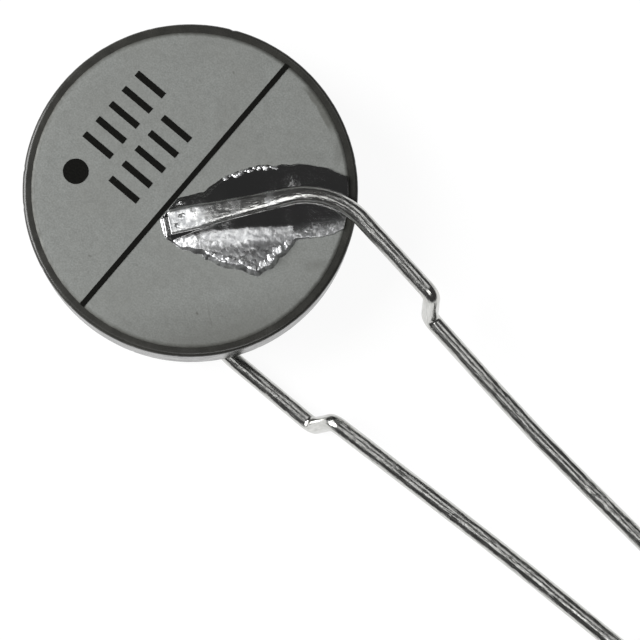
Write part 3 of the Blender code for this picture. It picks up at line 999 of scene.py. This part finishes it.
def grid_outline():
    """Numbers of the grid's outer points, in order round it from its inner corner at the tip."""
    outline = [column * SOLDER_ROWS for column in range(SOLDER_COLUMNS)]
    outline += [SOLDER_STEPS_ALONG * SOLDER_ROWS + row for row in range(1, SOLDER_ROWS)]
    outline += [column * SOLDER_ROWS + SOLDER_ROWS - 1 for column in range(SOLDER_COLUMNS - 2, -1, -1)]
    outline += list(range(SOLDER_ROWS - 2, 0, -1))
    return outline


def frozen_beads(border, edge_start, kind, seed):
    """Places, radii and steepness of beads that froze beside a long edge of the outline."""
    draw = Random(seed)
    first, last = (edge_start + int(SOLDER_COLUMNS * share) for share in kind["stretch"])
    beads = []
    for number in range(kind["count"]):
        share = (number + draw.uniform(-0.4, 0.4)) / kind["count"]
        radius = draw.uniform(*kind["radii"])
        point = border[int(first + (last - first) * share)]
        point = point + kind["into"] * draw.uniform(*kind["insets"])
        beads.append((point, radius, kind["steepness"] * draw.uniform(0.6, 1.3)))
    return beads


def bead_rise(flat, inward, dent, beads):
    """What the beads add to the solder's height at a place, and how frosted they make it."""
    rises = []
    frost = 0
    for bead, radius, steepness in beads:
        closeness = 1 - (flat - bead).length / radius * (1 + BEAD_UNEVENNESS * dent)
        if closeness > 0:
            crown = (closeness * (2 - closeness)) ** BEAD_ROUNDNESS
            rises.append(steepness * radius * crown * ramp(inward, 0, BEAD_EDGE_EASING))
            frost = max(frost, ramp(closeness, 0, 0.4))
    return sum(rises), frost


def solder_surface(grid, border, beads, pit, seed):
    """Top points of the puddle, and how frosted each is."""
    nearest = kdtree.KDTree(len(border))
    for number, point in enumerate(border):
        nearest.insert(point, number)
    nearest.balance()
    top, frost = [], []
    for flat, along, across, reach, is_outer in grid:
        inward = min(nearest.find(flat)[2], max(0, SILVER_RADIUS - RIM_GAP - flat.length))
        dent = ripple(flat, DENT_SIZE, seed)
        frosted = solder_frost(along, reach, is_outer, dent)
        height = solder_body(along, reach, inward, is_outer)
        height += (SMOOTH_DENT_DEPTH + FROSTED_DENT_DEPTH * frosted) * dent
        if along < TIP_COLLAR_END:
            height = smooth_max(height, tip_collar(along, across), EDGE_BLEND)
        rise, bead_frost = bead_rise(flat, inward, dent, beads)
        height = blunt_edge(height, along, inward) + rise
        height -= PIT_DEPTH * max(0, 1 - ((flat - pit).length / PIT_RADIUS) ** 2) ** 0.5
        top.append(Vector((flat.x, flat.y, FACE_HEIGHT + max(height, LEAST_HEIGHT))))
        frost.append(max(frosted, bead_frost))
    return top, frost


def solder_faces(outline, foot):
    """Faces of the puddle: its top, its side down to the foot points on the face, and its underside."""
    faces = []
    for column in range(SOLDER_STEPS_ALONG):
        for row in range(SOLDER_STEPS_ACROSS):
            near = column * SOLDER_ROWS + row
            far = near + SOLDER_ROWS
            faces.append((near + 1, far + 1, far, near))
    count = len(outline)
    for number in range(count):
        beside = (number + 1) % count
        faces.append((outline[beside], foot + beside, foot + number, outline[number]))
    faces.append(tuple(range(foot, foot + count)))
    return faces


def make_puddle(side, place, lead, material):
    """The solder: it climbs to the wire from a ragged, beaded edge, and froze rippled on its inner side."""
    seed = SOLDER_SEEDS[side]
    grid = solder_grid(lead, seed)
    outline = grid_outline()
    border = [grid[number][0] for number in outline]
    outer_start = SOLDER_COLUMNS + SOLDER_ROWS - 1
    beads = frozen_beads(border, 0, INNER_BEADS, seed)
    beads += frozen_beads(border, outer_start, OUTER_CRUMBS, seed + 1)
    pit = run_corner(lead) + RUN_DIRECTION * PIT_ALONG + RUN_OUTWARD * PIT_ACROSS
    vertices, frost = solder_surface(grid, border, beads, pit, seed)
    foot = len(vertices)
    vertices += [Vector((vertices[number].x, vertices[number].y, FACE_HEIGHT)) for number in outline]
    frost += [0] * len(outline)
    faces = solder_faces(outline, foot)
    attributes = {"frost": frost}
    add_piece(f"{side}_puddle", vertices, faces, material, place, f"{side}_solder", attributes)


# Print


def inked_shape(name, outline, material):
    """A thin pad of ink with slightly bled edges, from its outline on the face."""
    count = len(outline)
    middle = sum(outline, Vector()) / count
    foot, top = [], []
    for point in outline:
        outward = (point - middle).normalized()
        bled = point + outward * (INK_BLEED * ripple(point, INK_BLEED_SIZE, 1))
        foot.append(Vector((bled.x, bled.y, FACE_HEIGHT)))
        drawn_in = bled - outward * INK_EDGE_WIDTH
        top.append(Vector((drawn_in.x, drawn_in.y, FACE_HEIGHT + INK_THICKNESS)))
    faces = [tuple(range(count - 1, -1, -1)), tuple(range(count, 2 * count))]
    for number in range(count):
        beside = (number + 1) % count
        faces.append((number, beside, count + beside, count + number))
    add_piece(f"{name}_mark", foot + top, faces, material, FRONT_PLACE, name)


def along_outline(corners, step):
    """Points at even steps round a closed outline."""
    points = []
    for here, there in zip(corners, corners[1:] + corners[:1]):
        pieces = max(1, ceil((there - here).length / step))
        points += [here.lerp(there, part / pieces) for part in range(pieces)]
    return points


def node_outline(name):
    """Corners of a packed ink node's top face, in order round it."""
    points = [vertex.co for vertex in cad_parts[name].data.vertices]
    highest = max(point.z for point in points)
    raised = [point for point in points if point.z > highest - FLATNESS]
    corners = {(round(point.x, CORNER_DIGITS), round(point.y, CORNER_DIGITS)) for point in raised}
    middle = Vector((sum(x for x, y in corners), sum(y for x, y in corners))) / len(corners)
    ordered = sorted(corners, key=lambda corner: atan2(corner[1] - middle.y, corner[0] - middle.x))
    return [Vector((x - DISC_MIDDLE.x, y - DISC_MIDDLE.y, 0)) for x, y in ordered]


def make_print(material):
    """The line, bars and dot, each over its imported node."""
    for name in sorted(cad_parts):
        if name.startswith("print_"):
            inked_shape(name, along_outline(node_outline(name), INK_STEP), material)


# Floor, light and camera


def floor_material():
    """Pale grey under light, near white to the camera, and dark in reflections that graze it."""
    material = bpy.data.materials.new("pale_floor")
    material.use_nodes = True
    tree = material.node_tree
    tree.nodes.remove(tree.nodes["Principled BSDF"])
    path = node(tree, "ShaderNodeLightPath")
    to_camera = path.outputs["Is Camera Ray"]
    seen = maths(tree, "MAXIMUM", to_camera, path.outputs["Is Glossy Ray"])
    seen = maths(tree, "MAXIMUM", seen, path.outputs["Is Transmission Ray"])
    facing = node(tree, "ShaderNodeLayerWeight", {"Blend": 0.5}).outputs["Facing"]
    reflected = map_range(tree, facing, *FLOOR_GRAZING, FLOOR_GLOW_STEEP, FLOOR_GLOW_GRAZING)
    strength = blend(tree, to_camera, reflected, FLOOR_GLOW_TO_CAMERA)
    plain = node(tree, "ShaderNodeBsdfDiffuse", {"Color": FLOOR_GREY}).outputs[0]
    faint = node(tree, "ShaderNodeBsdfDiffuse", {"Color": FLOOR_SEEN_GREY}).outputs[0]
    glow = node(tree, "ShaderNodeEmission", {"Color": (1, 1, 1, 1), "Strength": strength}).outputs[0]
    shown = node(tree, "ShaderNodeAddShader", {0: faint, 1: glow}).outputs[0]
    surface = node(tree, "ShaderNodeMixShader", {0: seen, 1: plain, 2: shown}).outputs[0]
    fill(tree, tree.nodes["Material Output"], {"Surface": surface})
    return material


def make_floor():
    """A wide pale floor that keeps the part's soft shadow."""
    bm = bmesh.new()
    bmesh.ops.create_grid(bm, x_segments=1, y_segments=1, size=FLOOR_HALF_SIZE)
    mesh = bpy.data.meshes.new("floor")
    bm.to_mesh(mesh)
    bm.free()
    mesh.materials.append(floor_material())
    floor = bpy.data.objects.new("floor", mesh)
    bpy.context.scene.collection.objects.link(floor)
    floor.location.z = CAD_BOX[0].z - FLOOR_GAP


def make_world():
    """A dim, even room."""
    world = bpy.data.worlds.new("dim_room")
    bpy.context.scene.world = world
    world.use_nodes = True
    background = world.node_tree.nodes["Background"]
    background.inputs["Color"].default_value = (1, 1, 1, 1)
    background.inputs["Strength"].default_value = ROOM_STRENGTH


def add_lamp(name, angles, spread, radiance):
    """A soft oblong light that faces the part."""
    along, across = (radians(angle) for angle in angles)
    width, height = (radians(angle) for angle in spread)
    aim = Vector((DISC_MIDDLE.x + DISC_RADIUS, 0, DISC_HIGH.z))
    from_aim = Vector((tan(along), tan(across), 1)).normalized()
    light = bpy.data.lights.new(name, "AREA")
    light.shape = "RECTANGLE"
    light.size = 2 * LAMP_DISTANCE * tan(width / 2)
    light.size_y = 2 * LAMP_DISTANCE * tan(height / 2)
    light.energy = radiance * pi * light.size * light.size_y
    lamp = bpy.data.objects.new(name, light)
    bpy.context.scene.collection.objects.link(lamp)
    sideways = Vector((0, 1, 0)).cross(from_aim).normalized()
    turn = Matrix((sideways, from_aim.cross(sideways), from_aim)).transposed().to_4x4()
    lamp.matrix_world = Matrix.Translation(aim + from_aim * LAMP_DISTANCE) @ turn


def make_lamps():
    """Soft lights round a dark zenith, on both sides of the leads and low and left in the picture."""
    for name, (angles, spread, radiance) in LAMPS.items():
        add_lamp(name, angles, spread, radiance)


def make_camera():
    """The photograph's view: almost straight down on the printed face, from far away."""
    data = bpy.data.cameras.new("camera")
    data.sensor_width = CAMERA_SENSOR_WIDTH
    data.lens = CAMERA_LENS
    data.clip_start = CAMERA_CLIP_START
    data.clip_end = CAMERA_CLIP_END
    camera = bpy.data.objects.new("camera", data)
    bpy.context.scene.collection.objects.link(camera)
    face = Vector((DISC_MIDDLE.x, DISC_MIDDLE.y, SILVER_HIGH.z))
    location = face + CAMERA_PLACE
    forward = (face + CAMERA_AIM - location).normalized()
    top_of_picture = Vector((cos(CAMERA_UP_HEADING), sin(CAMERA_UP_HEADING), 0))
    right = forward.cross(top_of_picture).normalized()
    up = right.cross(forward)
    turn = Matrix((right, up, -forward)).transposed().to_4x4()
    camera.matrix_world = Matrix.Translation(location) @ turn
    bpy.context.scene.camera = camera


def build():
    """Make every piece, then the floor, the light and the camera."""
    make_camera()
    make_floor()
    make_world()
    make_lamps()
    silver, wire, solder = make_silver(), make_wire(), make_solder()
    make_disc(make_ceramic())
    for side, place, lead in (("front", FRONT_PLACE, FRONT_LEAD), ("back", BACK_PLACE, BACK_LEAD)):
        make_electrode(side, place, silver)
        make_lead(side, place, lead, wire)
        make_puddle(side, place, lead, solder)
    make_print(make_ink())
    bpy.context.scene.view_settings.view_transform = "Standard"


build()
